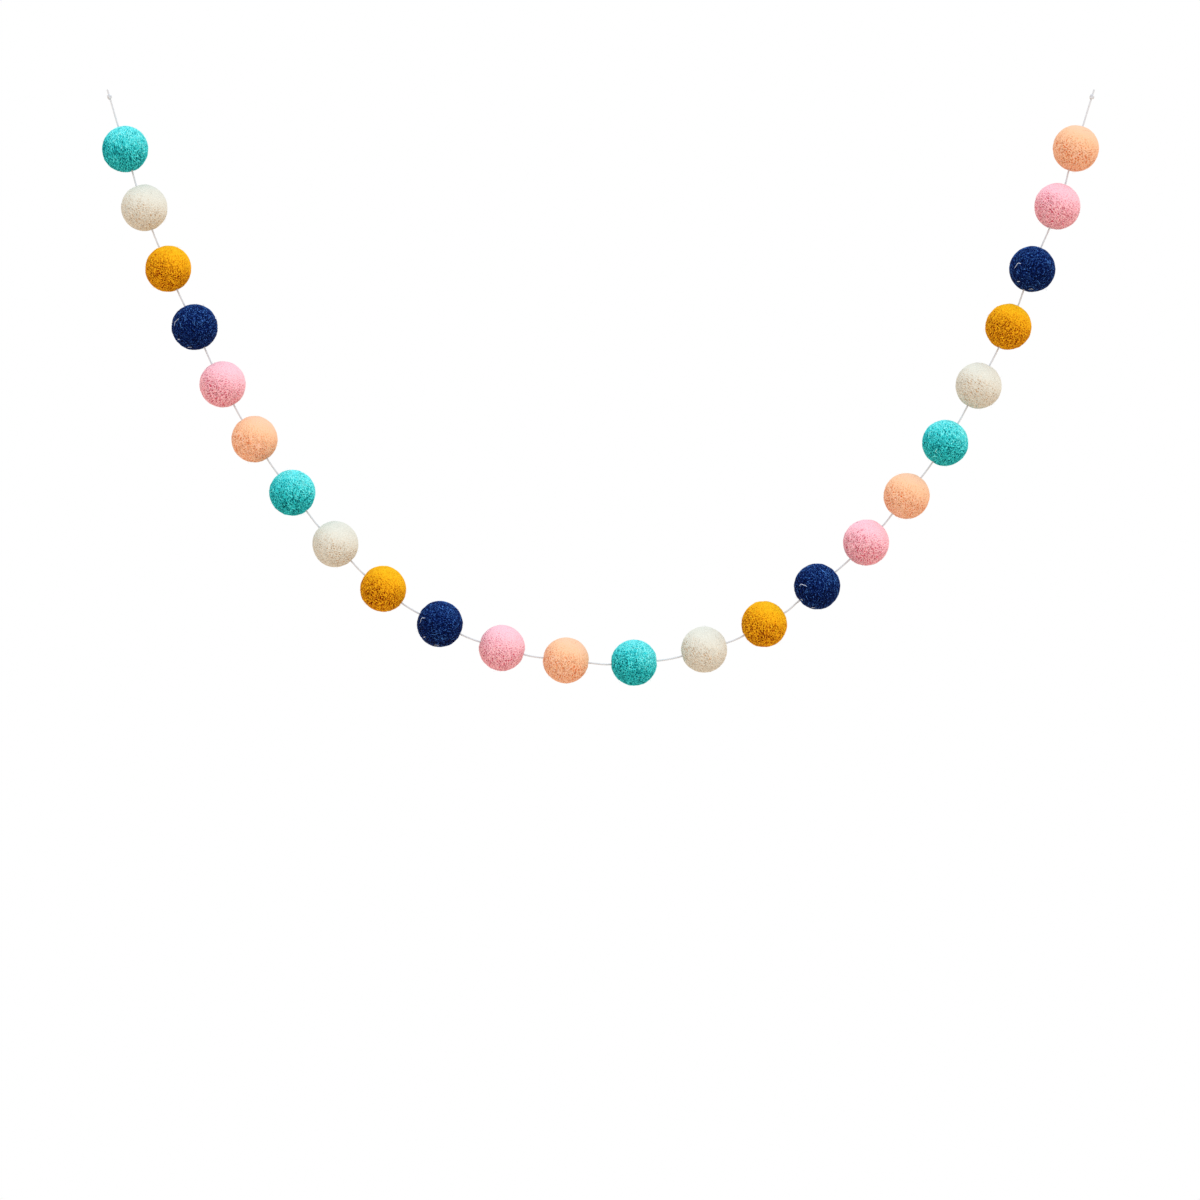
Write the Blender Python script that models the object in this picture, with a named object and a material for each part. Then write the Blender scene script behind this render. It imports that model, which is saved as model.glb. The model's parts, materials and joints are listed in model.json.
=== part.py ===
"""A felt ball garland: twenty-four wool felt balls threaded on one string.

The garland hangs in a deep swag from a small stopper knot at each end of its string.
Every ball is a bead with a needle hole, and the string runs straight through each hole
and bends only in the bare gaps between the balls.

Frame: metres, +Z up, +X along the span, the swag in the XZ plane. The origin is the
midpoint between the two knots, level with them.
"""

import math

import bmesh
import bpy
from mathutils import Vector

MM = 0.001

# The swag. Its slope is s / SAG_RADIUS * (1 + (s / STEEPENING) ** 2), where s is the length of
# string from the lowest point: a hanging chain that grows a little heavier towards its ends.
SPAN = 527.0 * MM
DROP = 305.0 * MM
SAG_RADIUS = 168.0 * MM
STEEPENING = 655.0 * MM

# The balls sit at even places along the string, a little closer together towards the ends.
PITCH = 35.8 * MM
CROWDING = 0.006 * MM

BALL_DIAMETER = 25.0 * MM
STRING_DIAMETER = 1.0 * MM
GAP = 0.3 * MM
RING_STEPS = 18
ARC_STEPS = 8
# The hole clears the string by GAP at the middle of its flat sides, and a little more.
NEEDLE_HOLE_RADIUS = (STRING_DIAMETER / 2 + GAP + 0.06 * MM) / math.cos(math.pi / RING_STEPS)

KNOT_DIAMETER = 2.8 * MM
KNOT_LENGTH = 3.2 * MM
KNOT_TAIL = 2.5 * MM
KNOT_STEPS = 12
KNOT_ARC_STEPS = 5

FELT = {
    "teal": (87, 195, 197),
    "cream": (217, 210, 192),
    "mustard": (214, 151, 41),
    "navy": (35, 55, 97),
    "pink": (233, 174, 182),
    "peach": (239, 188, 153),
}
STRING_COLOUR = (226, 226, 226)
FELT_ROUGHNESS = 0.95
STRING_ROUGHNESS = 0.8

# Each ball from left to right: its colour, how far it has slid to the right along the string
# from its even place, and how far it hangs outside the smooth swag, both in mm.
BALLS = (
    ("teal", 0.0, 0.5),
    ("cream", -0.5, 0.5),
    ("mustard", 0.5, -0.2),
    ("navy", 0.6, -0.9),
    ("pink", 0.2, -0.6),
    ("peach", -0.7, -0.3),
    ("teal", -0.6, -0.2),
    ("cream", 0.0, 0.7),
    ("mustard", -0.5, 1.5),
    ("navy", -0.5, 0.5),
    ("pink", -0.5, -0.8),
    ("peach", -1.0, -1.7),
    ("teal", 0.1, -0.6),
    ("cream", 2.5, 0.7),
    ("mustard", 1.7, 1.3),
    ("navy", 0.9, 0.1),
    ("pink", 0.6, 0.1),
    ("peach", -1.6, -0.2),
    ("teal", -1.5, 0.0),
    ("cream", -0.9, -0.3),
    ("mustard", -0.1, -0.2),
    ("navy", -0.9, -0.6),
    ("pink", 1.3, 0.3),
    ("peach", 0.3, 0.2),
)


def clear_scene():
    for obj in list(bpy.data.objects):
        bpy.data.objects.remove(obj, do_unlink=True)


def linear(channel):
    """One 8-bit sRGB channel as Blender's linear value."""
    value = channel / 255
    if value <= 0.04045:
        return value / 12.92
    return ((value + 0.055) / 1.055) ** 2.4


def material(name, rgb, roughness):
    made = bpy.data.materials.new(name)
    made.use_nodes = True
    shader = made.node_tree.nodes["Principled BSDF"]
    shader.inputs["Base Color"].default_value = (*map(linear, rgb), 1.0)
    shader.inputs["Roughness"].default_value = roughness
    shader.inputs["Metallic"].default_value = 0.0
    return made


def swag_point(length):
    """The smooth swag's point at this length from its lowest point, and its direction there."""
    steps = 400
    step = length / steps
    x, z = 0.0, -DROP
    for i in range(steps):
        angle = swag_angle((i + 0.5) * step)
        x += math.cos(angle) * step
        z += math.sin(angle) * step
    angle = swag_angle(length)
    return Vector((x, 0.0, z)), Vector((math.cos(angle), 0.0, math.sin(angle)))


def swag_angle(length):
    return math.atan(length / SAG_RADIUS * (1 + (length / STEEPENING) ** 2))


def ball_centres():
    """Where the balls hang, from left to right."""
    centres = []
    for i, (_, slide, outside) in enumerate(BALLS):
        place = i - (len(BALLS) - 1) / 2
        length = PITCH * place - CROWDING * place**3 + slide * MM
        point, along = swag_point(length)
        outward = Vector((along.z, 0.0, -along.x))
        centres.append(point + outward * outside * MM)
    return centres


def knot_centres():
    half = SPAN / 2
    return Vector((-half, 0.0, 0.0)), Vector((half, 0.0, 0.0))


def directions(points):
    """The string's direction at each inner point: from the point before it to the one after."""
    return [(after - before).normalized() for before, after in zip(points, points[2:])]


def bend(start, start_along, end, end_along, amount):
    """A point on the smooth bend between two straight runs of string, amount from 0 to 1."""
    reach = (end - start).length
    t = amount
    return (
        start * (2 * t**3 - 3 * t**2 + 1)
        + start_along * reach * (t**3 - 2 * t**2 + t)
        + end * (3 * t**2 - 2 * t**3)
        + end_along * reach * (t**3 - t**2)
    )


def string_route(balls, axes, knots):
    """The string's points: straight through each ball, and one smooth bend in each bare gap."""
    stub = KNOT_LENGTH / 2 + GAP
    half_ball = BALL_DIAMETER / 2
    left_along = (balls[0] - knots[0]).normalized()
    right_along = (knots[1] - balls[-1]).normalized()
    runs = [(knots[0], knots[0] + left_along * stub, left_along)]
    for centre, along in zip(balls, axes):
        runs.append((centre - along * half_ball, centre + along * half_ball, along))
    runs.append((knots[1] - right_along * stub, knots[1], right_along))
    route = [runs[0][1]]
    for i, (run, following) in enumerate(zip(runs, runs[1:])):
        at_an_end = i in (0, len(runs) - 2)
        amounts = (0.33, 0.67) if at_an_end else (0.5,)
        for amount in amounts:
            route.append(bend(run[1], run[2], following[0], following[2], amount))
        route.append(following[0])
        if i < len(runs) - 2:
            route.append(following[1])
    return route


def turned(name, profile, steps):
    """A closed outline of (radius, height) points turned about Z into one body."""
    mesh = bpy.data.meshes.new(name)
    body = bmesh.new()
    points = [body.verts.new((radius, 0.0, height)) for radius, height in profile]
    edges = [body.edges.new(pair) for pair in zip(points, points[1:])]
    if profile[0][0] > 0 and profile[-1][0] > 0:
        edges.append(body.edges.new((points[-1], points[0])))
    bmesh.ops.spin(
        body,
        geom=points + edges,
        cent=(0, 0, 0),
        axis=(0, 0, 1),
        angle=math.tau,
        steps=steps,
        use_merge=True,
    )
    bmesh.ops.remove_doubles(body, verts=body.verts, dist=0.01 * MM)
    bmesh.ops.recalc_face_normals(body, faces=body.faces)
    body.to_mesh(mesh)
    body.free()
    mesh.shade_smooth()
    mesh.set_sharp_from_angle(angle=math.radians(40))
    return mesh


def felt_ball_mesh(name):
    """A ball with a needle hole along Z: a round outline that starts and ends at the hole's rim."""
    radius = BALL_DIAMETER / 2
    rim = math.asin(NEEDLE_HOLE_RADIUS / radius)
    profile = []
    for i in range(ARC_STEPS + 1):
        angle = rim + (math.pi - 2 * rim) * i / ARC_STEPS
        profile.append((radius * math.sin(angle), radius * math.cos(angle)))
    return turned(name, profile, RING_STEPS)


def knot_mesh(name):
    """A small round stopper knot on Z, with the string's short tail standing out of its top."""
    tail_radius = STRING_DIAMETER / 2
    tail_start = math.asin(2 * tail_radius / KNOT_DIAMETER)
    profile = [(0.0, KNOT_LENGTH / 2 + KNOT_TAIL), (tail_radius, KNOT_LENGTH / 2 + KNOT_TAIL)]
    for i in range(KNOT_ARC_STEPS + 1):
        angle = tail_start + (math.pi - tail_start) * i / KNOT_ARC_STEPS
        across = KNOT_DIAMETER / 2 * math.sin(angle)
        profile.append((max(across, 0.0), KNOT_LENGTH / 2 * math.cos(angle)))
    profile[-1] = (0.0, -KNOT_LENGTH / 2)
    return turned(name, profile, KNOT_STEPS)


def place(name, mesh, centre, along):
    """An object with its own Z axis along the string."""
    obj = bpy.data.objects.new(name, mesh)
    obj.rotation_mode = "QUATERNION"
    obj.rotation_quaternion = along.to_track_quat("Z", "Y")
    obj.location = centre
    bpy.context.scene.collection.objects.link(obj)
    return obj


def make_balls(centres, axes):
    meshes = {}
    for colour, rgb in FELT.items():
        meshes[colour] = felt_ball_mesh(f"felt_ball_{colour}")
        meshes[colour].materials.append(material(f"felt_{colour}", rgb, FELT_ROUGHNESS))
    for number, (row, centre, along) in enumerate(zip(BALLS, centres, axes), start=1):
        colour = row[0]
        place(f"ball_{number:02d}_{colour}", meshes[colour], centre, along)


def make_knots(balls, knots, string_material):
    mesh = knot_mesh("stopper_knot")
    mesh.materials.append(string_material)
    place("knot_left", mesh, knots[0], (knots[0] - balls[0]).normalized())
    place("knot_right", mesh, knots[1], (knots[1] - balls[-1]).normalized())


def make_string(route, string_material):
    curve = bpy.data.curves.new("string", "CURVE")
    curve.dimensions = "3D"
    curve.bevel_depth = STRING_DIAMETER / 2
    curve.bevel_resolution = 2
    curve.use_fill_caps = True
    spline = curve.splines.new("POLY")
    spline.points.add(len(route) - 1)
    for point, place_on_route in zip(spline.points, route):
        point.co = (*place_on_route, 1.0)
    curve.materials.append(string_material)
    bpy.context.scene.collection.objects.link(bpy.data.objects.new("string", curve))


def main():
    clear_scene()
    centres = ball_centres()
    knots = knot_centres()
    axes = directions([knots[0], *centres, knots[1]])
    string_material = material("string", STRING_COLOUR, STRING_ROUGHNESS)
    make_balls(centres, axes)
    make_knots(centres, knots, string_material)
    route = string_route(centres, axes, knots)
    make_string(route, string_material)
    length = sum((b - a).length for a, b in zip(route, route[1:]))
    print(f"string {length * 1000:.1f} mm in {len(route)} points")


main()
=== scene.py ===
# %% [markdown]
# # A felt ball garland
#
# The real thing is a row of wool balls on a string. Each ball is loose wool that was wetted,
# soaped and rolled until its fibres locked, then pierced by a needle and pushed along a thin
# twisted string. The whole swag hangs from the two ends of that string.
#
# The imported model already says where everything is. This lesson puts the looks around it: the
# string first, then the knots, then the felt.

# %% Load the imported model
import json
import math

import bpy
import numpy as np
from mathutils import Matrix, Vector


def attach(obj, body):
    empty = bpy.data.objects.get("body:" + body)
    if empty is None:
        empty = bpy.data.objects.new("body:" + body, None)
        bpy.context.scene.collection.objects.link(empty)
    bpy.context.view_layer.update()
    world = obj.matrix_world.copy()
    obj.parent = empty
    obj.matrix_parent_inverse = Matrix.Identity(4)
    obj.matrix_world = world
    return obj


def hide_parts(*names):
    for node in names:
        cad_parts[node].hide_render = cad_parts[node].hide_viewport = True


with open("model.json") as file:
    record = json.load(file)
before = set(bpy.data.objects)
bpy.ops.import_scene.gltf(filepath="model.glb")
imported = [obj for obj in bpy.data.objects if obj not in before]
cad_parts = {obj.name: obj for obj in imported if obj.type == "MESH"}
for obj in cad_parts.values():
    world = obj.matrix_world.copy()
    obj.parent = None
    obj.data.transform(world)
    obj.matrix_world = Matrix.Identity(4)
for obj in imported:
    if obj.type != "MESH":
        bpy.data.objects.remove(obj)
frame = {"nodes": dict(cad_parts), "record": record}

MM = 0.001
BACK = np.array((0.0, 1.0, 0.0))
UP = np.array((0.0, 0.0, 1.0))
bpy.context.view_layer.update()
print("packed nodes:", len(frame["nodes"]))

# %% [markdown]
# ## Where the balls are
#
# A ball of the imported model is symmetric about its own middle, so the mean of its corners is
# the point that the string runs through. The string's direction at a ball follows from its two
# neighbours on the string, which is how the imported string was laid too.

# %% Ball centres and string directions
BALL_RADIUS = 12.5 * MM


def node_points(name):
    """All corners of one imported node, as an array of rows x, y, z in metres."""
    mesh = frame["nodes"][name].data
    flat = np.empty(3 * len(mesh.vertices), dtype=np.float32)
    mesh.vertices.foreach_get("co", flat)
    return flat.reshape(-1, 3).astype(float)


def unit(vectors):
    """Each row divided by its own length."""
    return vectors / np.linalg.norm(vectors, axis=-1, keepdims=True)


ball_names = sorted(name for name in frame["nodes"] if name.startswith("ball_"))
mounts = {mount["name"]: np.array(mount["pos_m"], float) for mount in frame["record"]["mounts"]}
knot_left, knot_right = mounts["hang_left"], mounts["hang_right"]
centres = np.array([node_points(name).mean(axis=0) for name in ball_names])
stations = np.vstack([knot_left, centres, knot_right])
axes = unit(stations[2:] - stations[:-2])
print(len(ball_names), "balls, the lowest at z =", round(centres[:, 2].min(), 4))

# %% [markdown]
# ## Camera
#
# The garland is seen square on. From close by, the outer balls would look stretched, so the
# camera stands well back and uses a long lens. Its distance follows from the width that it has
# to take in, which is a little more than the span between the two knots.

# %% The camera
VIEW_TO_SPAN = 1.2216
TOP_MARGIN = 0.0808
OFF_CENTRE = -0.0006
LENS = 120.0
SENSOR = 36.0

span = knot_right[0] - knot_left[0]
view_width = VIEW_TO_SPAN * span
eye_height = knot_left[2] + (TOP_MARGIN - 0.5) * view_width
distance = view_width * LENS / SENSOR

camera = bpy.data.objects.new("camera", bpy.data.cameras.new("camera"))
camera.data.lens = LENS
camera.data.sensor_width = SENSOR
camera.location = (OFF_CENTRE * view_width, -distance, eye_height)
camera.rotation_euler = (math.radians(90), 0.0, 0.0)
bpy.context.scene.collection.objects.link(camera)
bpy.context.scene.camera = camera
print(f"camera {distance:.2f} m away, view {view_width / MM:.0f} mm wide")

# %% [markdown]
# ## Light
#
# Felt shows its relief only when the light has a direction, and looks chalky when the shadows
# are black. So a weak, very soft sun stands high in front, and a bright room fills the rest.
# The room is cool and white above and warmer below, which gives each ball its cool top and
# warm underside. The camera sees plain white behind the garland.

# %% The sun
TO_KEY = Vector((0.25, -0.66, 0.71))
KEY_STRENGTH = 0.7
KEY_TINT = (0.95, 0.98, 1.0)
KEY_SOFTNESS = 20.0

key = bpy.data.objects.new("key", bpy.data.lights.new("key", "SUN"))
key.data.energy = KEY_STRENGTH
key.data.color = KEY_TINT
key.data.angle = math.radians(KEY_SOFTNESS)
key.rotation_euler = TO_KEY.to_track_quat("Z", "Y").to_euler()
bpy.context.scene.collection.objects.link(key)
print("sun strength", KEY_STRENGTH, "over", KEY_SOFTNESS, "degrees")

# %% The room
ROOM_STRENGTH = 1.36
FROM_ABOVE = (0.88, 0.94, 1.0)
FROM_BELOW = (0.98, 0.68, 0.45)
WHITE = (1.0, 1.0, 1.0, 1.0)

world = bpy.data.worlds.new("studio")
world.use_nodes = True
studio = world.node_tree
room = studio.nodes["Background"]
room.inputs["Strength"].default_value = ROOM_STRENGTH
direction = studio.nodes.new("ShaderNodeTexCoord")
split = studio.nodes.new("ShaderNodeSeparateXYZ")
upness = studio.nodes.new("ShaderNodeMapRange")
upness.inputs["From Min"].default_value = -1.0
shades = studio.nodes.new("ShaderNodeValToRGB")
for end, colour in zip(shades.color_ramp.elements, (FROM_BELOW, FROM_ABOVE)):
    end.color = (*colour, 1.0)
backdrop = studio.nodes.new("ShaderNodeBackground")
backdrop.inputs["Color"].default_value = WHITE
seen = studio.nodes.new("ShaderNodeLightPath")
either = studio.nodes.new("ShaderNodeMixShader")
for source, target in ((direction.outputs["Generated"], split.inputs["Vector"]),
                       (split.outputs["Z"], upness.inputs["Value"]),
                       (upness.outputs["Result"], shades.inputs["Fac"]),
                       (shades.outputs["Color"], room.inputs["Color"]),
                       (seen.outputs["Is Camera Ray"], either.inputs["Fac"]),
                       (room.outputs["Background"], either.inputs[1]),
                       (backdrop.outputs["Background"], either.inputs[2]),
                       (either.outputs["Shader"], studio.nodes["World Output"].inputs["Surface"])):
    studio.links.new(source, target)
bpy.context.scene.world = world
bpy.context.scene.view_settings.view_transform = "Standard"
print("room strength", ROOM_STRENGTH)

# %% [markdown]
# ## Floor
#
# The garland hangs, so nothing rests on the floor. A pale square lies far below it, where it
# closes the room without throwing light or shadow on the felt.

# %% The floor
FLOOR_HALF = 1.0
FLOOR_LEVEL = -2.6
FLOOR_PALE = (0.8, 0.8, 0.8, 1.0)
FLOOR_ROUGHNESS = 0.9

floor_corners = [(-FLOOR_HALF, -FLOOR_HALF, FLOOR_LEVEL), (FLOOR_HALF, -FLOOR_HALF, FLOOR_LEVEL),
                 (FLOOR_HALF, FLOOR_HALF, FLOOR_LEVEL), (-FLOOR_HALF, FLOOR_HALF, FLOOR_LEVEL)]
floor_mesh = bpy.data.meshes.new("floor")
floor_mesh.from_pydata(floor_corners, [], [(0, 1, 2, 3)])
floor = bpy.data.objects.new("floor", floor_mesh)
bpy.context.scene.collection.objects.link(floor)
floor_paint = bpy.data.materials.new("floor_paint")
floor_paint.use_nodes = True
floor_shader = floor_paint.node_tree.nodes["Principled BSDF"]
floor_shader.inputs["Base Color"].default_value = FLOOR_PALE
floor_shader.inputs["Roughness"].default_value = FLOOR_ROUGHNESS
floor_mesh.materials.append(floor_paint)
print("floor", 2 * FLOOR_HALF, "m wide at z =", FLOOR_LEVEL)

# %% [markdown]
# ## Meshes from arrays
#
# Every new surface here is worked out as whole arrays: the points, then the faces that join
# neighbouring points. Adding faces one by one would take minutes for a million triangles, so
# one helper hands the arrays to Blender in one go, with a value per point where a finish
# needs one.

# %% A mesh from arrays
def mesh_object(name, points, triangles, materials, attributes=None):
    """An object at the origin from rows of points, rows of three corners and per-point values."""
    mesh = bpy.data.meshes.new(name)
    mesh.vertices.add(len(points))
    mesh.vertices.foreach_set("co", points.astype(np.float32).ravel())
    mesh.loops.add(triangles.size)
    mesh.loops.foreach_set("vertex_index", triangles.astype(np.int32).ravel())
    mesh.polygons.add(len(triangles))
    mesh.polygons.foreach_set("loop_start", np.arange(0, triangles.size, 3, dtype=np.int32))
    mesh.update(calc_edges=True)
    mesh.shade_smooth()
    for key_name, values in (attributes or {}).items():
        layer = mesh.attributes.new(key_name, "FLOAT", "POINT")
        layer.data.foreach_set("value", values.astype(np.float32))
    for item in materials:
        mesh.materials.append(item)
    obj = bpy.data.objects.new(name, mesh)
    bpy.context.scene.collection.objects.link(obj)
    return obj


print("the frame's own", len(frame["nodes"]), "meshes stay as they are")

# %% [markdown]
# ## Tubes
#
# Threads, locks of wool, hairs and loose wisps are all thin tubes along a path. A Blender
# curve with a bevel makes one such tube, but thousands of them are quicker as arrays: all the
# rings of all the tubes at once. A tube ends in a flat fan, so it is closed.

# %% Tubes along paths
def tube_triangles(rings, sides):
    """Corner rows of one closed tube: ring r and side s give point r * sides + s. Each square
    between neighbouring rings is two triangles, and a fan closes each end."""
    ring, side = np.meshgrid(np.arange(rings - 1), np.arange(sides), indexing="ij")
    a = ring * sides + side
    b = ring * sides + (side + 1) % sides
    c, d = b + sides, a + sides
    walls = np.concatenate([np.stack([a, b, c], -1), np.stack([a, c, d], -1)]).reshape(-1, 3)
    fan = np.arange(1, sides - 1)
    start = np.stack([np.zeros_like(fan), fan + 1, fan], -1)
    end = np.stack([np.zeros_like(fan), fan, fan + 1], -1) + (rings - 1) * sides
    return np.concatenate([walls, start, end])


def tubes(paths, ups, radii, sides, height=1.0):
    """Many tubes at once. paths is (tube, ring, 3), ups a direction across each path at each
    ring, radii (tube, ring). A ring's point at angle a is the path's point plus radius times
    (cosine of a, times height, along up, plus sine of a along across)."""
    count, rings = paths.shape[:2]
    along = unit(np.gradient(paths, axis=1))
    ups = unit(ups - along * (ups * along).sum(-1, keepdims=True))
    across = np.cross(along, ups)
    angle = np.arange(sides) * math.tau / sides
    ring = (np.cos(angle)[:, None] * ups[:, :, None, :] * height
            + np.sin(angle)[:, None] * across[:, :, None, :])
    points = paths[:, :, None, :] + ring * radii[:, :, None, None]
    triangles = tube_triangles(rings, sides)
    offsets = np.arange(count)[:, None, None] * rings * sides
    return points.reshape(-1, 3), (triangles[None] + offsets).reshape(-1, 3)


print("a tube of 8 rings and 3 sides has", len(tube_triangles(8, 3)), "triangles")

# %% [markdown]
# ## The string's route
#
# A needle takes the string straight through each ball, so it can only bend in the bare gaps.
# Each gap is one smooth curve that leaves one ball and meets the next in the right direction:
# a cubic through two points with two given directions. Straight lines from ball to ball would
# look like bent wire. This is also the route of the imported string.

# %% Straight runs and bends
KNOT_HALF = 1.6 * MM
HIDDEN_IN_KNOT = 1.0 * MM
POINTS_IN_BALL = 8
POINTS_IN_GAP = 12
ROUTE_STEP = 0.5 * MM


def bend(start, start_along, end, end_along, amounts):
    """Points of the cubic between two straight runs, for an array of amounts from 0 to 1. It
    starts and ends at the given points, and leaves and arrives along the given directions."""
    reach = np.linalg.norm(end - start)
    t = amounts[:, None]
    return (start * (2 * t**3 - 3 * t**2 + 1) + start_along * reach * (t**3 - 2 * t**2 + t)
            + end * (3 * t**2 - 2 * t**3) + end_along * reach * (t**3 - t**2))


def evenly(points, step):
    """The same line with a point every step along it, and how far along each point is."""
    lengths = np.linalg.norm(np.diff(points, axis=0), axis=1)
    places = np.concatenate([[0.0], np.cumsum(lengths)])
    wanted = np.linspace(0.0, places[-1], int(round(places[-1] / step)) + 1)
    return np.stack([np.interp(wanted, places, points[:, k]) for k in range(3)], axis=1), wanted


left_along = unit(centres[0] - knot_left)
right_along = unit(knot_right - centres[-1])
run_starts = np.vstack([knot_left + left_along * HIDDEN_IN_KNOT, centres - axes * BALL_RADIUS,
                        knot_right - right_along * KNOT_HALF])
run_ends = np.vstack([knot_left + left_along * KNOT_HALF, centres + axes * BALL_RADIUS,
                      knot_right - right_along * HIDDEN_IN_KNOT])
run_axes = np.vstack([left_along, axes, right_along])
print(len(run_starts), "straight runs with", len(run_starts) - 1, "bends between them")

# %% The route from knot to knot
in_run = np.linspace(0, 1, POINTS_IN_BALL + 1)[:-1, None]
in_gap = np.linspace(0, 1, POINTS_IN_GAP + 1)[:-1]
route_parts = [run_starts[0] + (run_ends[0] - run_starts[0]) * in_run]
for i in range(1, len(run_starts)):
    route_parts.append(bend(run_ends[i - 1], run_axes[i - 1], run_starts[i], run_axes[i], in_gap))
    route_parts.append(run_starts[i] + (run_ends[i] - run_starts[i]) * in_run)
route_parts.append(run_ends[-1:])
route, route_places = evenly(np.concatenate(route_parts), ROUTE_STEP)

# %% [markdown]
# ## Helpers for finishes
#
# A finish is a small tree of nodes around one shader. A few helpers make such a tree short to
# write: one for a new material, one for any node, one for sums and products, one for a ramp of
# colours, and one that turns a colour as painters' software shows it into Blender's linear one.

# %% Node helpers
def new_material(name, roughness):
    """A Principled material, its node tree and its shader."""
    made = bpy.data.materials.new(name)
    made.use_nodes = True
    shader = made.node_tree.nodes["Principled BSDF"]
    shader.inputs["Roughness"].default_value = roughness
    return made, made.node_tree, shader


def node(tree, kind, **settings):
    """One node; a setting whose name starts with in_ goes to the input of that name."""
    made = tree.nodes.new(kind)
    for key_name, value in settings.items():
        if key_name.startswith("in_"):
            made.inputs[key_name[3:]].default_value = value
        else:
            setattr(made, key_name, value)
    return made


def math_node(tree, operation, first, second=0.0, clamp=False):
    """first operation second, each a socket or a number."""
    made = node(tree, "ShaderNodeMath", operation=operation, use_clamp=clamp)
    for number, value in enumerate((first, second)):
        if isinstance(value, (int, float)):
            made.inputs[number].default_value = value
        else:
            tree.links.new(value, made.inputs[number])
    return made.outputs[0]


def ramp(tree, factor, stops):
    """A colour ramp over a socket: stops are (place, linear colour)."""
    made = node(tree, "ShaderNodeValToRGB")
    elements = made.color_ramp.elements
    while len(elements) < len(stops):
        elements.new(0.5)
    for element, (place, colour) in zip(elements, stops):
        element.position = place
        element.color = (*colour, 1.0)
    tree.links.new(factor, made.inputs["Fac"])
    return made.outputs["Color"]


def linear(red, green, blue):
    """An 8-bit sRGB colour as Blender's linear one."""
    value = np.array([red, green, blue]) / 255
    return tuple(np.where(value <= 0.04045, value / 12.92, ((value + 0.055) / 1.055) ** 2.4))


print("middle grey is", round(float(linear(128, 128, 128)[0]), 3), "in linear light")

# %% [markdown]
# ## Thread
#
# Thread is a bundle of fibres far finer than a mesh can hold. A drawn pattern would need to be
# wrapped round each ply, so a fine noise stands for the fibres instead: it makes each one a
# little darker or lighter than the next and roughens the surface.

# %% The thread's finish
THREAD_ROUGHNESS = 0.75
THREAD_SCALE = 5200.0
THREAD_BUMP_STRENGTH = 0.4
THREAD_BUMP = 0.08 * MM
THREAD_STOPS = (0.3, 0.7)


def thread_finish(name, dark, light):
    """Thread whose fibres range from a dark to a light linear colour, as a noise does between
    the two stops."""
    made, tree, shader = new_material(name, THREAD_ROUGHNESS)
    place = node(tree, "ShaderNodeTexCoord").outputs["Object"]
    fibres = node(tree, "ShaderNodeTexNoise", in_Scale=THREAD_SCALE, in_Detail=2.0)
    tree.links.new(place, fibres.inputs["Vector"])
    tint = ramp(tree, fibres.outputs["Fac"], list(zip(THREAD_STOPS, (dark, light))))
    tree.links.new(tint, shader.inputs["Base Color"])
    bump = node(tree, "ShaderNodeBump", in_Strength=THREAD_BUMP_STRENGTH, in_Distance=THREAD_BUMP)
    tree.links.new(fibres.outputs["Fac"], bump.inputs["Height"])
    tree.links.new(bump.outputs["Normal"], shader.inputs["Normal"])
    return made


thread = thread_finish("string_thread", (0.52, 0.57, 0.63), (0.58, 0.63, 0.69))
print("finish:", thread.name)

# %% [markdown]
# ## Twisted string
#
# The string is three thin plies laid round each other. One plain tube would shine along its
# whole length like plastic, so each ply is its own tube: it follows the route at a small
# distance from it and goes once round it in every lay of the twist. The plies press on each
# other, so they overlap a little in the middle.

# %% Three plies along the route
PLIES = 3
PLY_RADIUS = 0.36 * MM
PLY_OFFSET = 0.15 * MM
LAY = 3.2 * MM
PLY_SIDES = 5
TINY = 1e-9


def twisted(line, places):
    """Points and corner rows of the twisted string along a line. Ply k is the line plus a
    vector of fixed length that turns by one full turn for each lay, and starts k thirds of a
    turn on. TINY keeps a line that runs straight back from dividing by zero."""
    along = unit(np.gradient(line, axis=0))
    up = unit(np.cross(along, np.cross(BACK, along)) + TINY)
    across = np.cross(along, up)
    angle = math.tau * (places / LAY + np.arange(PLIES)[:, None] / PLIES)
    swing = np.cos(angle)[..., None] * up + np.sin(angle)[..., None] * across
    paths = line + swing * PLY_OFFSET
    ups = np.broadcast_to(up, paths.shape)
    return tubes(paths, ups, np.full(paths.shape[:2], PLY_RADIUS), PLY_SIDES)


string_points, string_triangles = twisted(route, route_places)
string = mesh_object("garland_string", string_points, string_triangles, [thread])
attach(string, "root")
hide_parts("string")
print("string triangles:", len(string_triangles))

# %% [markdown]
# ## Stopper knots
#
# Each end of the string is wound back round itself and pulled tight, with a short tail left
# over. A true knot is hard to write as a formula and too small to be read as one, so this is
# its outline: a corkscrew whose radius swells from nothing and shrinks back to nothing.

# %% A knot's line
KNOT_TURNS = 2.6
WRAP_RADIUS = 0.85 * MM
WRAP_SHARE = 0.62
SWELL = 2.2
TAIL = 2.5 * MM
WRAP_POINTS = 120
TAIL_POINTS = 16
KNOT_STEP = 0.2 * MM


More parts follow.
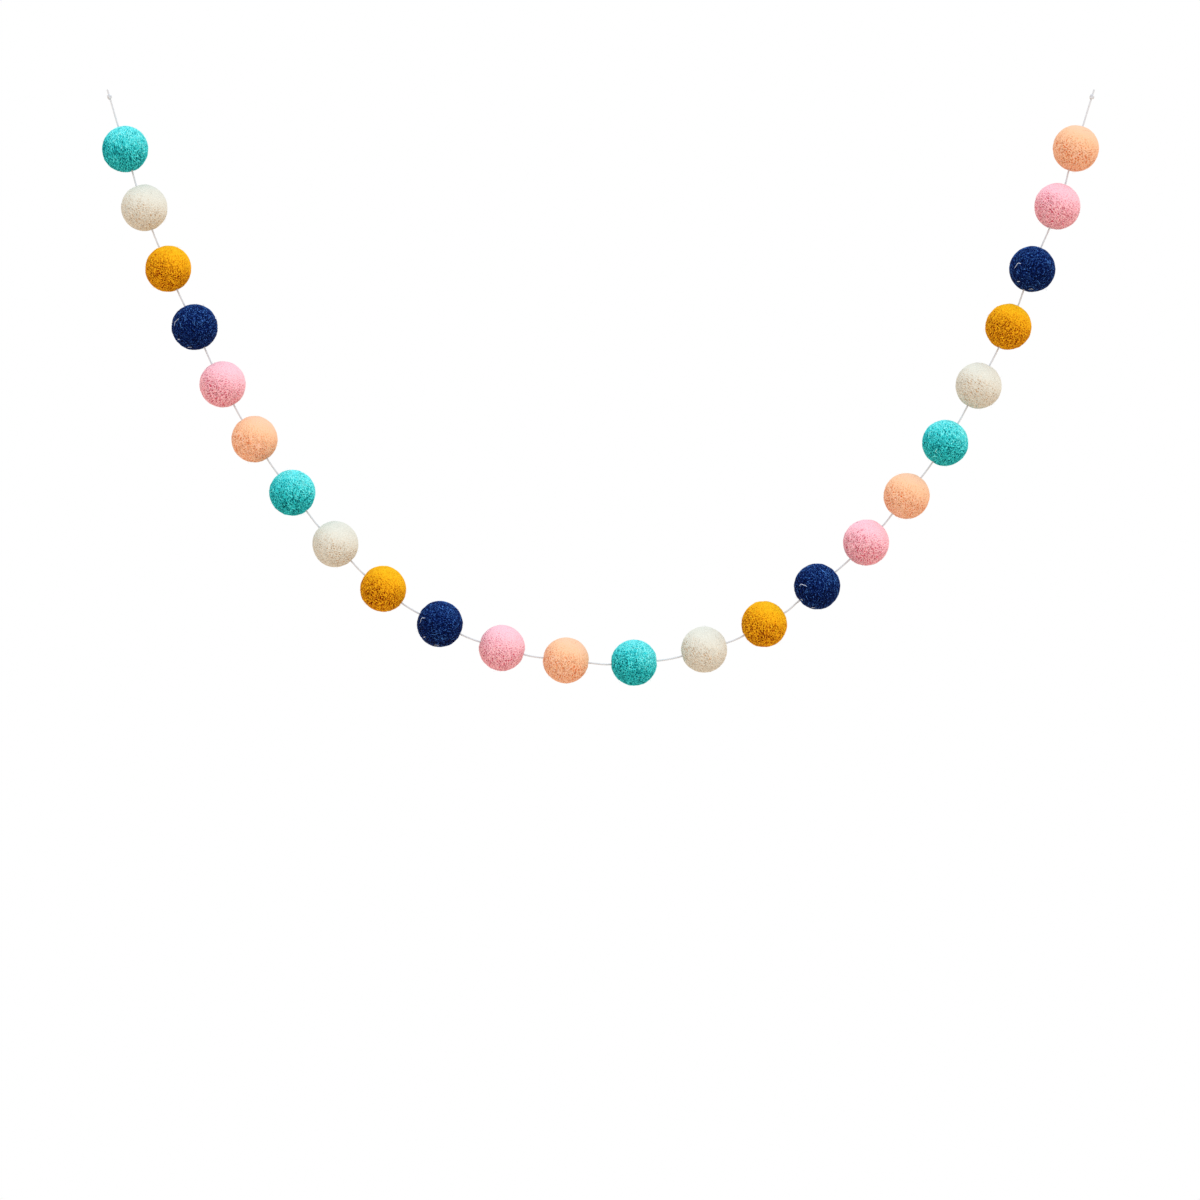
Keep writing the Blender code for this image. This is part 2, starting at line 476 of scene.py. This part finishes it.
def knot_line(middle_point, out):
    """The winding's line: along out, round it KNOT_TURNS times, then straight on as a tail. Its
    radius is a half wave, stretched by SWELL and cut off at WRAP_RADIUS."""
    t = np.linspace(0, 1, WRAP_POINTS)
    across = np.cross(out, BACK)
    angle = math.tau * KNOT_TURNS * t
    swell = WRAP_RADIUS * np.clip(np.sin(math.pi * t) * SWELL, 0, 1)
    height = KNOT_HALF * WRAP_SHARE * (2 * t - 1)
    wrap = (middle_point + out * height[:, None]
            + (BACK * np.cos(angle)[:, None] + across * np.sin(angle)[:, None]) * swell[:, None])
    tail_length = TAIL + KNOT_HALF * (1 - WRAP_SHARE)
    tail = wrap[-1] + out * np.linspace(0, tail_length, TAIL_POINTS)[1:, None]
    return np.concatenate([wrap, tail])


print("a knot's line has", len(knot_line(knot_left, -left_along)), "points")

# %% The two knots
for side_name, point, out in (("left", knot_left, -left_along), ("right", knot_right, right_along)):
    line, places = evenly(knot_line(point, out), KNOT_STEP)
    knot_points, knot_triangles = twisted(line, places)
    knot = mesh_object(f"stopper_{side_name}", knot_points, knot_triangles, [thread])
    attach(knot, "root")
    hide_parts(f"knot_{side_name}")

# %% [markdown]
# ## The felt's surface
#
# Wet-felted wool is a mat of curly locks that cross over each other, with small dark pits where
# no lock covers the ones below. One layer of locks can be worked out from a field of waves: add
# up waves of about one length in random directions, and the lines where the sum is zero wander
# and curl, and keep about the same distance from each other. The distance to the nearest such
# line is the sum divided by its slope. A few layers, one over another, make the mat. Waves that
# lean towards one direction give combed locks, which run on side by side.

# %% Fields of waves
WAVES = 16
WAVE_BAND = (0.8, 1.25)
SLOPE_FLOOR = 1.0


def make_waves(rng, wavelength, count=WAVES, combed=0.0):
    """Random waves of about one length: a row of wave numbers for each, and its phase. combed
    is how far their directions lean towards one random direction."""
    lean = unit(rng.normal(size=3)) * combed
    numbers = unit(rng.normal(size=(count, 3)) + lean) * math.tau / wavelength
    numbers *= rng.uniform(*WAVE_BAND, size=(count, 1))
    return numbers, rng.uniform(0, math.tau, size=count)


def wave_field(points, waves):
    """The sum of the waves at each point, about -2 to 2, and its slope."""
    numbers, phases = waves
    phase = points @ numbers.T + phases
    size = math.sqrt(2 / len(phases))
    return np.cos(phase).sum(axis=-1) * size, -(np.sin(phase) @ numbers) * size


def locks(points, outward, waves, half_width):
    """One layer of locks. The distance away from a lock's middle is the field's value divided
    by its slope along the surface, and the lock is 1 less the square of away over half_width."""
    value, slope = wave_field(points, waves)
    slope = slope - outward * (slope * outward).sum(axis=-1, keepdims=True)
    away = np.abs(value) / (np.linalg.norm(slope, axis=-1) + SLOPE_FLOOR)
    return np.clip(1 - (away / half_width) ** 2, 0, 1)


print("each layer of locks comes from", WAVES, "waves")

# %% [markdown]
# ## Felt finishes
#
# The dye is one colour, but light that reaches a pit bounces from fibre to fibre, so pits are
# deeper and warmer than the locks' tops. The finish paints that in as painted shade: each
# finish has three shades of its colour, and a height says which shade shows, so the low places
# take the pits' painted shade. A little under half of the height is the relief of the locks,
# which each ball's mesh stores. The rest is a mat of finer fibres that the finish adds, too
# small for the mesh, and the same mat roughens the surface as bump.
#
# The mat is Blender's own noise in a few layers. Where a smooth noise passes its middle value
# there is a fibre, and a coarser noise pushes the places about, which curls the fibres.

# %% A mat of fine fibres
STRETCH = (1.3, 1.3, 0.4)
WARP_SCALE = 0.45
WARP_REACH = 2.2
LAYER_SHIFT = (0.013, 0.007, 0.019)
LAYER_TURN = (0.9, 1.7, 0.4)
LOWEST_LAYER = 0.6


def curled_place(tree, place, scale):
    """Positions plus a noise, coarser than the fibres and centred on nothing."""
    warp = node(tree, "ShaderNodeTexNoise", in_Scale=scale * WARP_SCALE, in_Detail=1.0)
    tree.links.new(place, warp.inputs["Vector"])
    centred = node(tree, "ShaderNodeVectorMath", operation="SUBTRACT")
    centred.inputs[1].default_value = (0.5, 0.5, 0.5)
    tree.links.new(warp.outputs["Color"], centred.inputs[0])
    swing = node(tree, "ShaderNodeVectorMath", operation="SCALE", in_Scale=WARP_REACH / scale)
    tree.links.new(centred.outputs["Vector"], swing.inputs[0])
    curled = node(tree, "ShaderNodeVectorMath", operation="ADD")
    tree.links.new(place, curled.inputs[0])
    tree.links.new(swing.outputs["Vector"], curled.inputs[1])
    return curled.outputs["Vector"]


def fibre_layer(tree, curled, scale, gain, k):
    """Layer k: 1 where its own turned noise is at its middle value, less gain times the
    distance from that value."""
    turn = node(tree, "ShaderNodeMapping", in_Location=[k * shift for shift in LAYER_SHIFT],
                in_Rotation=[k * angle for angle in LAYER_TURN], in_Scale=STRETCH)
    tree.links.new(curled, turn.inputs["Vector"])
    noise = node(tree, "ShaderNodeTexNoise", in_Scale=scale, in_Detail=0.0)
    tree.links.new(turn.outputs["Vector"], noise.inputs["Vector"])
    off_middle = math_node(tree, "SUBTRACT", noise.outputs["Fac"], 0.5)
    off_middle = math_node(tree, "ABSOLUTE", off_middle)
    falling = math_node(tree, "MULTIPLY", off_middle, gain)
    return math_node(tree, "SUBTRACT", 1.0, falling, clamp=True)


def fibre_mat(tree, place, scale, gain, layers):
    """The highest of a few layers of fibres, the lowest of which reaches LOWEST_LAYER."""
    curled = curled_place(tree, place, scale)
    height = None
    for k in range(layers):
        level = LOWEST_LAYER + (1 - LOWEST_LAYER) * k / max(layers - 1, 1)
        fibre = math_node(tree, "MULTIPLY", fibre_layer(tree, curled, scale, gain, k), level)
        height = fibre if height is None else math_node(tree, "MAXIMUM", height, fibre)
    return height


print("a mat's fibres are", STRETCH[0] / STRETCH[2], "times as long as wide")

# %% The felt's finish
CURL_TO_SCALE = 1.5
FIBRE_LAYERS = 3
FINE_SCALE = 3200.0
FINE_GAIN = 7.0
FINE_LAYERS = 2
FINE_SHARE = 0.2
RELIEF_SHARE = 0.45
MIDDLE_HEIGHT = 0.5
# Places further towards the top side than this are painted towards the tip shade, those below towards the
# pit shade: painted light and shade.
PAINTED_LIGHT_MIDDLE = 0.4
SHEEN_ROUGHNESS = 0.5


def weighted(tree, first, share, second):
    """share of the first socket plus the rest of the second."""
    return math_node(tree, "ADD", math_node(tree, "MULTIPLY", first, share),
                     math_node(tree, "MULTIPLY", second, 1 - share))


def mat_texture(tree, felt):
    """Mostly the felt's own curly fibres, with a finer mat of fibres between them."""
    place = node(tree, "ShaderNodeTexCoord").outputs["Object"]
    own_scale = CURL_TO_SCALE / (felt["curl"] * MM)
    own = fibre_mat(tree, place, own_scale, felt["thin"], FIBRE_LAYERS)
    fine = fibre_mat(tree, place, FINE_SCALE, FINE_GAIN, FINE_LAYERS)
    return weighted(tree, fine, FINE_SHARE, own)


def shade_height(tree, relief, texture, strength, flat_and_lit, felt):
    """Relief and texture together, drawn towards the middle where strength is low, plus paler
    times how much more lit than most the place is: painted light and shade that move the top
    side towards the tip shade and the underside towards the pit shade."""
    height = math_node(tree, "SUBTRACT", weighted(tree, relief, RELIEF_SHARE, texture), MIDDLE_HEIGHT)
    height = math_node(tree, "MULTIPLY", height, strength)
    height = math_node(tree, "ADD", height, MIDDLE_HEIGHT)
    # Painted light and shade: the top side is painted towards the tip shade, the underside towards the pit
    # shade.
    painted_light_over_middle = math_node(tree, "SUBTRACT", flat_and_lit, PAINTED_LIGHT_MIDDLE)
    return math_node(tree, "ADD", height, math_node(tree, "MULTIPLY", painted_light_over_middle, felt["paler"]))


def felt_finish(name, felt):
    """Felt in one colour, from three shades: a painted shade in the pits, the dye between, and a
    tip shade on the locks' tops. The strength of its texture, and so of the painted shade in its
    gaps, is 1 less calm times how flat and lit the place is."""
    made, tree, shader = new_material(name, felt["roughness"])
    relief, flat_and_lit, matted = [node(tree, "ShaderNodeAttribute", attribute_name=stored).outputs["Fac"]
                               for stored in ("relief", "flat_and_lit", "matted")]
    strength = math_node(tree, "SUBTRACT", 1.0, math_node(tree, "MULTIPLY", flat_and_lit, felt["calm"]))
    texture = math_node(tree, "MULTIPLY", mat_texture(tree, felt), strength)
    height = shade_height(tree, relief, texture, strength, flat_and_lit, felt)
    # The pit shade is painted shade, shown where the height is low.
    dye_and_painted_shades = [linear(*felt[shade]) for shade in ("pit", "body", "tip")]
    tint = ramp(tree, height, list(zip(felt["stops"], dye_and_painted_shades)))
    tree.links.new(tint, shader.inputs["Base Color"])
    bump = node(tree, "ShaderNodeBump", in_Strength=1.0, in_Distance=felt["bump"] * MM)
    tree.links.new(math_node(tree, "MULTIPLY", texture, matted), bump.inputs["Height"])
    tree.links.new(bump.outputs["Normal"], shader.inputs["Normal"])
    shader.inputs["Sheen Weight"].default_value = felt["sheen"]
    shader.inputs["Sheen Roughness"].default_value = SHEEN_ROUGHNESS
    shader.inputs["Sheen Tint"].default_value = (*linear(*felt["tip"]), 1.0)
    shader.inputs["Specular IOR Level"].default_value = felt["gloss"]
    return made


print("relief gives", RELIEF_SHARE, "of the shade's height, the fibre mat the rest")

# %% [markdown]
# ## Six felts
#
# The six wools aren't only six colours. The pale ones are soft and even, with small pits. The
# teal and the mustard are coarse, with deep pits. The navy is wound in thin locks, a few of
# which are painted lighter as glints. One table holds what differs, so that one finish and one
# shape serve them all:
#
# - pit, body and tip are the three shades, pit a painted shade for the low places, and stops
#   are the heights at which they stand,
# - curl is the waves' length, lift the height of the locks over the pits and bump the depth of
#   the fine mat, all in mm,
# - beds is the number of layers of locks, full a lock's half width in the mat as a share of
#   curl, thin how thin the fibres are, and cells how fine the ball's grid is,
# - locks is how many locks lie loose on the mat, about lock_width mm wide, swinging curliness
#   radians to and fro and lying astray radians off the winding. Their shade is that of the
#   height shade, and up to glint higher on a few, a painted glint,
# - calm is how much flatter the top side is, in its mesh and in its painted shade, and paler
#   how far the top side is painted towards the tip shade and the underside towards the pit
#   shade, as painted light and shade,
# - sheen, gloss and roughness go to the shader.

# %% What each felt is like
COMMON = {"curl": 2.0, "beds": 3, "full": 0.2, "cells": 53, "lock_width": 0.4, "gloss": 0.04}
# Each felt's pit colour is the painted shade of its low places.
FELTS = {
    "teal": COMMON | {
        "pit": (0, 84, 98), "body": (44, 212, 221), "tip": (146, 250, 252), "stops": (0.18, 0.56, 0.95),
        "lift": 0.7, "bump": 0.22, "thin": 12.0, "cells": 50,
        "locks": 150, "lock_width": 0.45, "curliness": 0.9, "astray": 0.6, "shade": 0.9, "glint": 0.8,
        "calm": 0.1, "paler": 0.34, "sheen": 0.03, "gloss": 0.02, "roughness": 0.8},
    "cream": COMMON | {
        "pit": (174, 142, 102), "body": (213, 217, 209), "tip": (178, 179, 170), "stops": (0.12, 0.47, 0.82),
        "lift": 0.45, "bump": 0.18, "thin": 9.0,
        "locks": 40, "curliness": 0.9, "astray": 1.2, "shade": 0.55, "glint": 0.25,
        "calm": 0.8, "paler": 0.18, "sheen": 0.12, "roughness": 0.9},
    "mustard": COMMON | {
        "pit": (116, 0, 0), "body": (233, 163, 18), "tip": (222, 204, 38), "stops": (0.2, 0.54, 0.92),
        "lift": 0.7, "bump": 0.22, "thin": 11.0,
        "locks": 80, "curliness": 1.2, "astray": 0.9, "shade": 0.85, "glint": 0.5,
        "calm": 0.5, "paler": 0.3, "sheen": 0.0, "roughness": 0.8},
    "navy": COMMON | {
        "pit": (0, 2, 24), "body": (0, 28, 98), "tip": (92, 162, 254), "stops": (0.15, 0.62, 0.95),
        "curl": 1.8, "lift": 0.5, "bump": 0.22, "beds": 2, "thin": 13.0, "cells": 46,
        "locks": 340, "lock_width": 0.22, "curliness": 0.5, "astray": 0.4, "shade": 0.85, "glint": 0.7,
        "calm": 0.1, "paler": 0.14, "sheen": 0.0, "roughness": 0.7},
    "pink": COMMON | {
        "pit": (198, 46, 86), "body": (240, 192, 208), "tip": (226, 168, 172), "stops": (0.17, 0.48, 0.85),
        "lift": 0.72, "bump": 0.2, "full": 0.19, "thin": 11.5,
        "locks": 50, "curliness": 1.2, "astray": 1.2, "shade": 0.55, "glint": 0.25,
        "calm": 0.65, "paler": 0.16, "sheen": 0.15, "roughness": 0.85},
    "peach": COMMON | {
        "pit": (208, 102, 48), "body": (230, 188, 150), "tip": (226, 182, 178), "stops": (0.14, 0.5, 0.86),
        "lift": 0.5, "bump": 0.18, "thin": 10.0,
        "locks": 50, "curliness": 1.0, "astray": 0.9, "shade": 0.55, "glint": 0.25,
        "calm": 0.8, "paler": 0.18, "sheen": 0.15, "roughness": 0.9},
}
felts = {colour: felt_finish(f"felt_{colour}", felt) for colour, felt in FELTS.items()}
print("felts:", sorted(felts))

# %% [markdown]
# ## A ball's grid
#
# A globe of rings and segments crowds its faces at the poles, and each finer step of an
# icosphere has four times as many faces. A cube whose faces are grids of equal angles, pushed
# out to a sphere, can have any number of cells, all of nearly one size, so the felt is equally
# fine everywhere.

# %% A sphere of even cells
def cube_sphere(cells):
    """Directions spread evenly over a sphere, and the corner rows between them. Each face of a
    cube is a grid of equal angles, pushed out to the sphere, and shared edges are merged."""
    line = np.tan(np.linspace(-1, 1, cells + 1) * math.pi / 4)
    u, v = np.meshgrid(line, line, indexing="ij")
    faces = []
    for axis in range(3):
        for sign in (1.0, -1.0):
            faces.append(np.roll(np.stack([np.full_like(u, sign), sign * u, v], -1), axis, axis=-1))
    points = unit(np.array(faces).reshape(-1, 3))
    i, j = np.meshgrid(np.arange(cells), np.arange(cells), indexing="ij")
    a = i * (cells + 1) + j
    b = a + cells + 1
    one_face = np.concatenate([np.stack([a, b, b + 1], -1), np.stack([a, b + 1, a + 1], -1)])
    offsets = np.arange(6)[:, None, None] * (cells + 1) ** 2
    corners = (one_face.reshape(1, -1, 3) + offsets).reshape(-1, 3)
    _, first, merged = np.unique(np.round(points, 7), axis=0, return_index=True,
                                 return_inverse=True)
    return points[first], merged.ravel()[corners]


print("a sphere of 3 cells has", len(cube_sphere(3)[1]), "triangles")

# %% [markdown]
# ## A ball's shape
#
# A hand-rolled ball is close to round, with soft dents a few millimetres wide. The locks stand
# about half a millimetre over the pits, and the felt is drawn in where the string enters. On
# each ball's top side, a little to the right, the mat is flatter and the pits are closed, and
# the finish paints that side towards its tip shade and the underside towards its pit shade, as
# painted light and shade. A displacement modifier would do this with a texture, but then the
# finish couldn't read the locks' height, so the radius and the height are worked out together.

# %% The shape of one ball
WIDE_WAVE = 22 * MM
WIDE_WAVES = 6
OUT_OF_ROUND = 0.06 * MM
DENT_WAVE = 5.5 * MM
DENT = 0.035 * MM
LOCK_WAVE = 1.1
COMBED = 1.5
LOWEST_BED = 0.6
NEEDLE_DIMPLE = 0.7 * MM
DIMPLE_RADIUS = 1.3 * MM
DIMPLE_PAINTED_SHADE = 0.5
SINK = 0.1 * MM
# The side towards this direction is flatter, and the finish paints it as lit and the far side as shaded.
TO_FLAT_AND_LIT = unit(np.array((0.4, -0.1, 0.9)))
FLAT_AND_LIT_FROM = -0.35
FLAT_AND_LIT_TO = 0.95


def flat_and_lit_side(outward):
    """How flat the felt is and how lit its painted colour is in each outward direction: 1 on top,
    a little to the right, and 0 below, with a smooth step between."""
    amount = np.clip((outward @ TO_FLAT_AND_LIT - FLAT_AND_LIT_FROM) / (FLAT_AND_LIT_TO - FLAT_AND_LIT_FROM), 0, 1)
    return amount**2 * (3 - 2 * amount)


def ball_shape(rng, felt):
    """The random fields that make one ball's surface its own."""
    curl = felt["curl"] * MM
    return {
        "wide": make_waves(rng, WIDE_WAVE, WIDE_WAVES),
        "dents": make_waves(rng, DENT_WAVE),
        "locks": [make_waves(rng, curl * LOCK_WAVE, combed=COMBED) for _ in range(felt["beds"])],
        "half_width": curl * felt["full"],
        "lift": felt["lift"] * MM,
        "calm": felt["calm"],
    }


def ball_surface(outward, axis, shape, smooth=False):
    """Radius and relief in each outward direction. The radius is the plain one plus roundness
    error, dents and the highest layer of locks, less a dimple at each end of the needle hole.
    Smooth leaves the locks out, at their full height."""
    on_ball = outward * BALL_RADIUS
    wide, _ = wave_field(on_ball, shape["wide"])
    dents, _ = wave_field(on_ball, shape["dents"])
    mat = np.full(outward.shape[:-1], 1.0 if smooth else 0.0)
    for level, waves in zip(np.linspace(LOWEST_BED, 1.0, len(shape["locks"])), shape["locks"]):
        mat = np.maximum(mat, level * locks(on_ball, outward, waves, shape["half_width"]))
    from_hole = BALL_RADIUS * np.arccos(np.clip(np.abs(outward @ axis), 0, 1))
    dimple = np.exp(-(from_hole / DIMPLE_RADIUS) ** 2)
    lift = shape["lift"] * (1 - shape["calm"] * flat_and_lit_side(outward))
    radius = (BALL_RADIUS - SINK - lift + OUT_OF_ROUND * wide + DENT * dents
              + lift * mat - NEEDLE_DIMPLE * dimple)
    # The dimples' relief is lowered, so the finish paints them with the pits' painted shade.
    return radius, np.clip(mat - DIMPLE_PAINTED_SHADE * dimple, 0, 1)


print("the locks stand", min(felt["lift"] for felt in FELTS.values()), "to",
      max(felt["lift"] for felt in FELTS.values()), "mm over the pits")

# %% [markdown]
# ## Loose locks
#
# Rolling winds the outermost locks round the ball. They lie on the mat, over and under each
# other, and dive into it at both ends. A particle system could strew them, but its hairs are
# thin lines that don't keep to the surface. So each lock is a flat tube along a line that is
# walked over the ball, step by step, with a heading that swings to and fro.

# %% Lines that wander over the ball
SWINGS = (0.7, 1.6)


def walk(start, toward, headings, lengths):
    """Outward directions along lines on the ball. Each line starts at start and takes equal
    steps; a heading of 0 runs round the axis named toward, and positive headings turn left."""
    ahead = unit(np.cross(toward, start))
    aside = np.cross(start, ahead)
    step = lengths[:, None] / (headings.shape[1] - 1)
    x = np.cumsum(np.cos(headings) * step, axis=1)
    y = np.cumsum(np.sin(headings) * step, axis=1)
    return unit(start[:, None] * BALL_RADIUS + ahead[:, None] * x[..., None]
                + aside[:, None] * y[..., None])


def curly_paths(rng, rings, lengths, curl, winding, spread):
    """Curly lines on the ball, wound about an axis give or take spread radians. A line's heading
    swings to and fro by curl radians and drifts to one side."""
    count = len(lengths)
    start = unit(rng.normal(size=(count, 3)))
    t = np.linspace(0, 1, rings)
    swings = rng.uniform(*SWINGS, size=(count, 1))
    phase = rng.uniform(0, math.tau, size=(count, 1))
    drift = rng.normal(0, 1.0, size=(count, 1))
    turn = rng.normal(0, spread, size=(count, 1))
    headings = curl * np.sin(math.tau * swings * t + phase) + drift * (t - 0.5) + turn
    return walk(start, winding, headings, lengths)


print("a line swings", SWINGS[0], "to", SWINGS[1], "times")

# %% Locks that lie on the mat
LOCK_RINGS = 8
LOCK_SIDES = 3
LOCK_LENGTHS = (3.0 * MM, 7.0 * MM)
HALF_WIDTHS = (0.35, 0.65)
LOCK_FLATNESS = 0.45
LOCK_TAPER = 0.6
LOCK_DIVE = 0.35 * MM
LOCK_DEPTHS = 0.25 * MM
DEPTH_PAINTED_SHADE = 0.45
WINDING_TILT = 0.3


def lying_locks(rng, axis, shape, felt):
    """Flat curled locks: each keeps its own depth in the mat, and dives by LOCK_DIVE times the
    fourth power of the way from its middle to an end. A deeper lock is painted darker, as shade,
    and a few are painted lighter, as glints."""
    count = felt["locks"]
    widths = felt["lock_width"] * MM * rng.uniform(*HALF_WIDTHS, count)
    lengths = rng.uniform(*LOCK_LENGTHS, count)
    depths = rng.uniform(0, 1, count)
    winding = unit(rng.normal(0, WINDING_TILT, 3) - BACK)
    outward = curly_paths(rng, LOCK_RINGS, lengths, felt["curliness"], winding, felt["astray"])
    radius, _ = ball_surface(outward, axis, shape, smooth=True)
    t = np.linspace(0, 1, LOCK_RINGS)
    dive = LOCK_DIVE * (2 * t - 1) ** 4
    paths = outward * (radius - depths[:, None] * LOCK_DEPTHS - dive)[..., None]
    taper = 1 - LOCK_TAPER * (2 * t - 1) ** 6
    points, triangles = tubes(paths, outward, widths[:, None] * taper, LOCK_SIDES, LOCK_FLATNESS)
    # Painted light and shade: a few locks get a painted glint, and a deeper lock a painted shade.
    shade = felt["shade"] + felt["glint"] * rng.uniform(0, 1, count) ** 3 - DEPTH_PAINTED_SHADE * depths
    return points, triangles, np.repeat(shade, LOCK_RINGS * LOCK_SIDES)


print("loose locks on a navy ball:", FELTS["navy"]["locks"])

# %% [markdown]
# ## Hairs
#
# A few single fibres always work loose, and they soften the ball's outline. Each one lies down
# at its root and rises towards its tip.

# %% Hairs that stand off the mat
HAIRS = 30
HAIR_RINGS = 9
HAIR_SIDES = 3
HAIR_LENGTHS = (2 * MM, 6 * MM)
HAIR_RADII = (0.02 * MM, 0.035 * MM)
HAIR_CURL = 0.8
HAIR_SPREAD = 2.0
HAIR_RISE = 1.5 * MM
SMALLEST_RISE = 0.1


def hairs(rng, axis, shape, felt):
    """Fine single fibres that rise from the mat as the square of the way along them. Most rise
    little, because the rise is the square of an even draw."""
    lengths = rng.uniform(*HAIR_LENGTHS, HAIRS)
    outward = curly_paths(rng, HAIR_RINGS, lengths, HAIR_CURL, UP, HAIR_SPREAD)
    radius, _ = ball_surface(outward, axis, shape, smooth=True)
    t = np.linspace(0, 1, HAIR_RINGS)
    rise = rng.uniform(SMALLEST_RISE, 1.0, size=(HAIRS, 1)) ** 2 * HAIR_RISE * t**2
    paths = outward * (radius + rise)[..., None]
    radii = rng.uniform(*HAIR_RADII, HAIRS)[:, None] * np.ones(HAIR_RINGS)
    points, triangles = tubes(paths, outward, radii, HAIR_SIDES)
    return points, triangles, np.full(len(points), felt["shade"])


print("hairs on each ball:", HAIRS)

# %% [markdown]
# ## The balls
#
# Each ball is one mesh: the mat as a closed surface, with its locks and hairs on it. Three
# values are stored at each point for the finish: relief, how high in the felt it is, which sets
# how much painted shade it takes; how far towards the top side it is, where the mesh is flatter
# and the finish paints light, with painted shade below; and matted, how much of the fine bump it
# takes. Every ball has its own seed, so no two are alike and each comes out the same on every
# run.

# %% One ball of felt
MATTED = (1.0, 0.3, 0.0)


def felt_ball(name, centre, axis, seed, colour):
    """One ball: the mat as a closed surface, with locks and hairs on it. MATTED is how much of
    the fine bump each of the three takes."""
    rng = np.random.default_rng(seed)
    felt = FELTS[colour]
    shape = ball_shape(rng, felt)
    outward, grid = cube_sphere(felt["cells"])
    radius, relief = ball_surface(outward, axis, shape)
    parts = [(outward * radius[:, None], grid, relief),
             lying_locks(rng, axis, shape, felt),
             hairs(rng, axis, shape, felt)]
    counts = [len(part[0]) for part in parts]
    first = np.cumsum([0] + counts[:-1])
    points = np.concatenate([part[0] for part in parts]) + centre
    triangles = np.concatenate([part[1] + shift for part, shift in zip(parts, first)])
    relief = np.concatenate([part[2] for part in parts])
    # How far towards the flatter top side: the finish paints light there and shade below.
    flat_and_lit = flat_and_lit_side(unit(points - centre))
    matted = np.repeat(MATTED, counts)
    return mesh_object(name, points, triangles, [felts[colour]],
                       {"relief": relief, "flat_and_lit": flat_and_lit, "matted": matted})


print("the mat, its locks and its hairs take", MATTED, "of the fine bump")

# %% All the balls on the string
FIRST_BALL_SEED = 100

triangle_count = 0
for number, name in enumerate(ball_names):
    colour = name.split("_")[2]
    ball = felt_ball(f"felt_{name}", centres[number], axes[number], FIRST_BALL_SEED + number, colour)
    triangle_count += len(ball.data.polygons)
    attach(ball, "root")
    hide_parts(name)
print("triangles in the balls:", triangle_count)

# %% [markdown]
# ## Stray fibres
#
# Pale wool sheds, and a dark ball shows it: a few pale wisps cling to each navy ball. Each wisp
# is one arc on the ball, from a starting place, at a heading that turns evenly along it and
# wavers a little. They are listed one by one, and a small random shift keeps the balls different.

# %% A ball's wisps
STRAYS = [
    {"start": (-0.80, -0.58, 0.0), "heading": 80, "bend": -105, "length": 6.0},
    {"start": (-0.24, -0.34, -0.91), "heading": 35, "bend": -110, "length": 3.0},
    {"start": (-0.70, -0.45, -0.55), "heading": -30, "bend": 30, "length": 2.2},
]
STRAY_SHIFT = 0.03
STRAY_TURN = 12
STRAY_RADIUS = 0.14 * MM
STRAY_FLATNESS = 0.6
STRAY_RINGS = 14
STRAY_SIDES = 4
STRAY_RISE = 0.15 * MM
STRAY_WAVER = 0.35
STRAY_WAVES = 1.5
BLUNT = 0.04


def stray_wisps(rng, centre):
    """The wisps of one ball: flat tubes whose width follows the square root of 1 less the fourth
    power of the way from the middle to an end, with at least BLUNT under the root."""
    count = len(STRAYS)
    shift = rng.normal(0, STRAY_SHIFT, (count, 3))
    start = unit(np.array([stray["start"] for stray in STRAYS]) + shift)
    first = np.radians([stray["heading"] + rng.normal(0, STRAY_TURN) for stray in STRAYS])
    bend_angle = np.radians([stray["bend"] for stray in STRAYS])
    lengths = np.array([stray["length"] for stray in STRAYS]) * MM
    t = np.linspace(0, 1, STRAY_RINGS)
    waver = STRAY_WAVER * np.sin(math.tau * (STRAY_WAVES * t + rng.uniform(0, 1, (count, 1))))
    headings = first[:, None] + bend_angle[:, None] * t + waver
    outward = walk(start, UP, headings, lengths)
    paths = centre + outward * (BALL_RADIUS + STRAY_RISE)
    widths = STRAY_RADIUS * np.sqrt(np.clip(1 - (2 * t - 1) ** 4, BLUNT, 1)) * np.ones((count, 1))
    return tubes(paths, outward, widths, STRAY_SIDES, STRAY_FLATNESS)


print("wisps on each navy ball:", len(STRAYS))

# %% Pale wisps on the navy balls
FIRST_STRAY_SEED = 500

lint = thread_finish("pale_lint", (0.50, 0.62, 0.80), (0.60, 0.74, 0.95))
wisp_points = []
wisp_triangles = []
for number, name in enumerate(ball_names):
    if "navy" in name:
        rng = np.random.default_rng(FIRST_STRAY_SEED + number)
        points, triangles = stray_wisps(rng, centres[number])
        wisp_triangles.append(triangles + sum(len(block) for block in wisp_points))
        wisp_points.append(points)
wisps = mesh_object("stray_fibres", np.concatenate(wisp_points), np.concatenate(wisp_triangles),
                    [lint])
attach(wisps, "root")
print("triangles in the wisps:", len(wisps.data.polygons))
